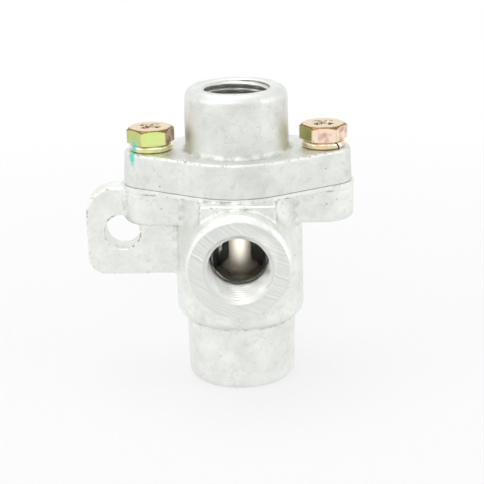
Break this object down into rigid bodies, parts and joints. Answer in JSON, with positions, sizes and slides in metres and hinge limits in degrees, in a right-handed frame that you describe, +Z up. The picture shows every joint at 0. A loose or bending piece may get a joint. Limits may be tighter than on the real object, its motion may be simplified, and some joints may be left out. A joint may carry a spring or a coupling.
{
  "type": "double non-return valve",
  "caption": "Die-cast air shuttle valve with opposed supply ports, a front delivery port, a cover held by cap screws and a side mounting ear.",
  "frame": {"origin": "middle of the bounding box's footprint, on the level of the lower port's face; the valve's upright axis is at x = 4.55 mm, y = 3.55 mm", "axes": "+Z up along the two supply ports' axis, -Y out of the delivery port, -X towards the mounting ear"},
  "size_m": [0.0644, 0.0424, 0.0721],
  "materials": {
    "cast_aluminium": "as cast, tumbled",
    "machined_aluminium": "turned",
    "drawn_steel": "drawn",
    "yellow_zinc": "yellow passivated zinc",
    "rubber": "moulded"
  },
  "bodies": {
    "housing": {"body": "cast_aluminium", "cover": "cast_aluminium", "cover_o_ring": "rubber", "shuttle_guide": "drawn_steel", "cap_screw_left": "yellow_zinc", "cap_screw_right": "yellow_zinc", "spring_washer_left": "yellow_zinc", "spring_washer_right": "yellow_zinc"},
    "shuttle_unit": {"shuttle": "machined_aluminium", "lower_pad": "rubber", "upper_pad": "rubber"}
  },
  "joints": [
    {"name": "shuttle_slide", "type": "slide", "parent": "housing", "child": "shuttle_unit", "axis": [0, 0, 1], "range_m": [0, 0.004]}
  ]
}
